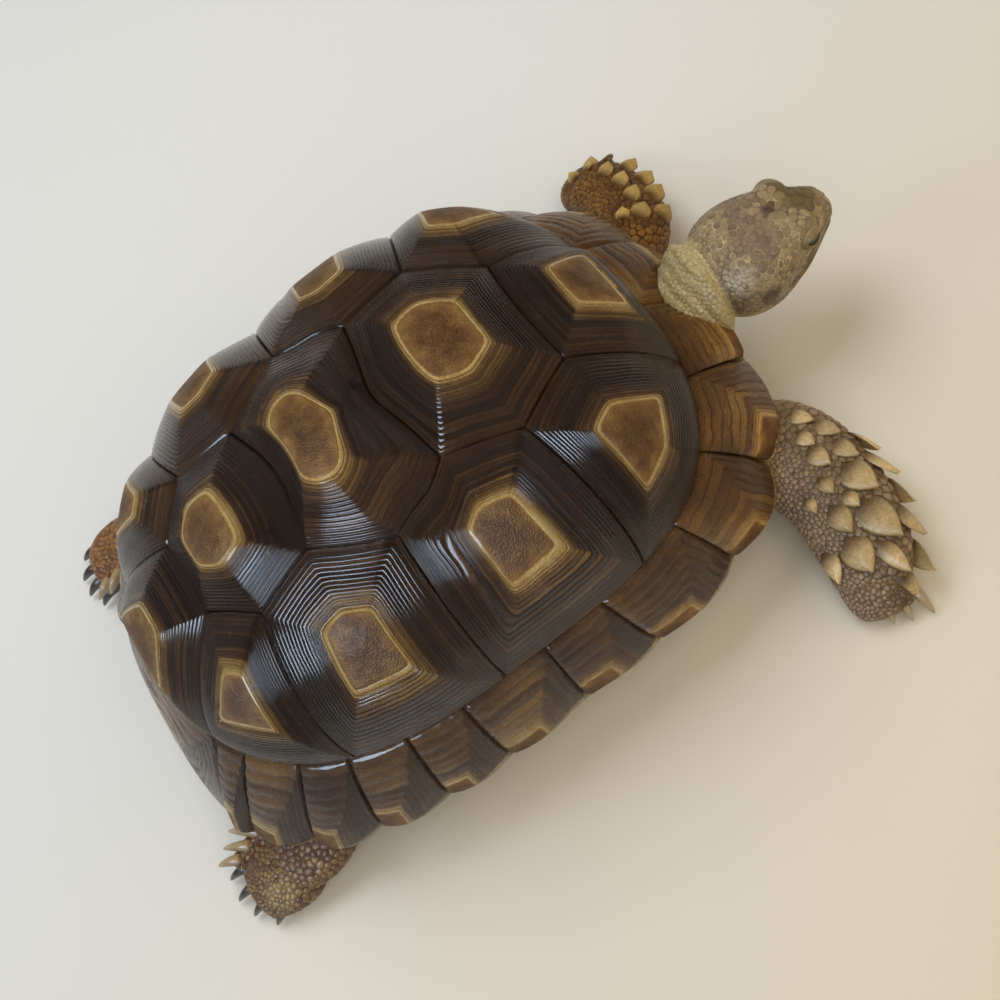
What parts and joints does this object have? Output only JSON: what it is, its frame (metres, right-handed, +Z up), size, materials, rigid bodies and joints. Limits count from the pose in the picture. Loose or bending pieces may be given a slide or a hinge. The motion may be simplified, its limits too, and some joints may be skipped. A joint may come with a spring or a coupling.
{
  "type": "sulcata tortoise",
  "caption": "Still, life-size model of a young sulcata tortoise, standing with its head turned and one foreleg reaching out to the side.",
  "frame": {"origin": "on the floor, below the middle of the whole animal's bounding box", "axes": "+X the animal's left, +Y towards its tail, +Z up; the soles lie on z = 0 and the head faces -Y"},
  "size_m": [0.1296, 0.1786, 0.0691],
  "materials": {
    "carapace": "horn, polished, dark brown with amber areoles and pale growth rings",
    "marginals": "horn, satin, brown with amber and straw wedges",
    "plastron": "horn, satin, straw yellow with brown growth areas",
    "skin": "scaly skin, tan and brown, with cream pointed scales",
    "head": "fine polygonal scales, grey-tan with pale seams",
    "eye": "wet, near black"
  },
  "bodies": {
    "root": {"vertebral_1": "carapace", "vertebral_2": "carapace", "vertebral_3": "carapace", "vertebral_4": "carapace", "vertebral_5": "carapace", "costal_left_1": "carapace", "costal_left_2": "carapace", "costal_left_3": "carapace", "costal_left_4": "carapace", "marginal_left_1": "marginals", "marginal_left_2": "marginals", "marginal_left_3": "marginals", "marginal_left_4": "marginals", "marginal_left_5": "marginals", "marginal_left_6": "marginals", "marginal_left_7": "marginals", "marginal_left_8": "marginals", "marginal_left_9": "marginals", "marginal_left_10": "marginals", "marginal_left_11": "marginals", "costal_right_1": "carapace", "costal_right_2": "carapace", "costal_right_3": "carapace", "costal_right_4": "carapace", "marginal_right_1": "marginals", "marginal_right_2": "marginals", "marginal_right_3": "marginals", "marginal_right_4": "marginals", "marginal_right_5": "marginals", "marginal_right_6": "marginals", "marginal_right_7": "marginals", "marginal_right_8": "marginals", "marginal_right_9": "marginals", "marginal_right_10": "marginals", "marginal_right_11": "marginals", "supracaudal": "marginals", "plastron_gular": "plastron", "plastron_humeral": "plastron", "plastron_pectoral": "plastron", "plastron_abdominal": "plastron", "plastron_femoral": "plastron", "plastron_anal": "plastron", "trunk": "skin", "head": "head", "lower_jaw": "head", "eye_left": "eye", "eye_right": "eye", "neck": "skin", "tail": "skin", "foreleg_left": "skin", "forefoot_left": "skin", "foreleg_right": "skin", "forefoot_right": "skin", "hindleg_left": "skin", "hindfoot_left": "skin", "hindleg_right": "skin", "hindfoot_right": "skin"}
  },
  "joints": []
}
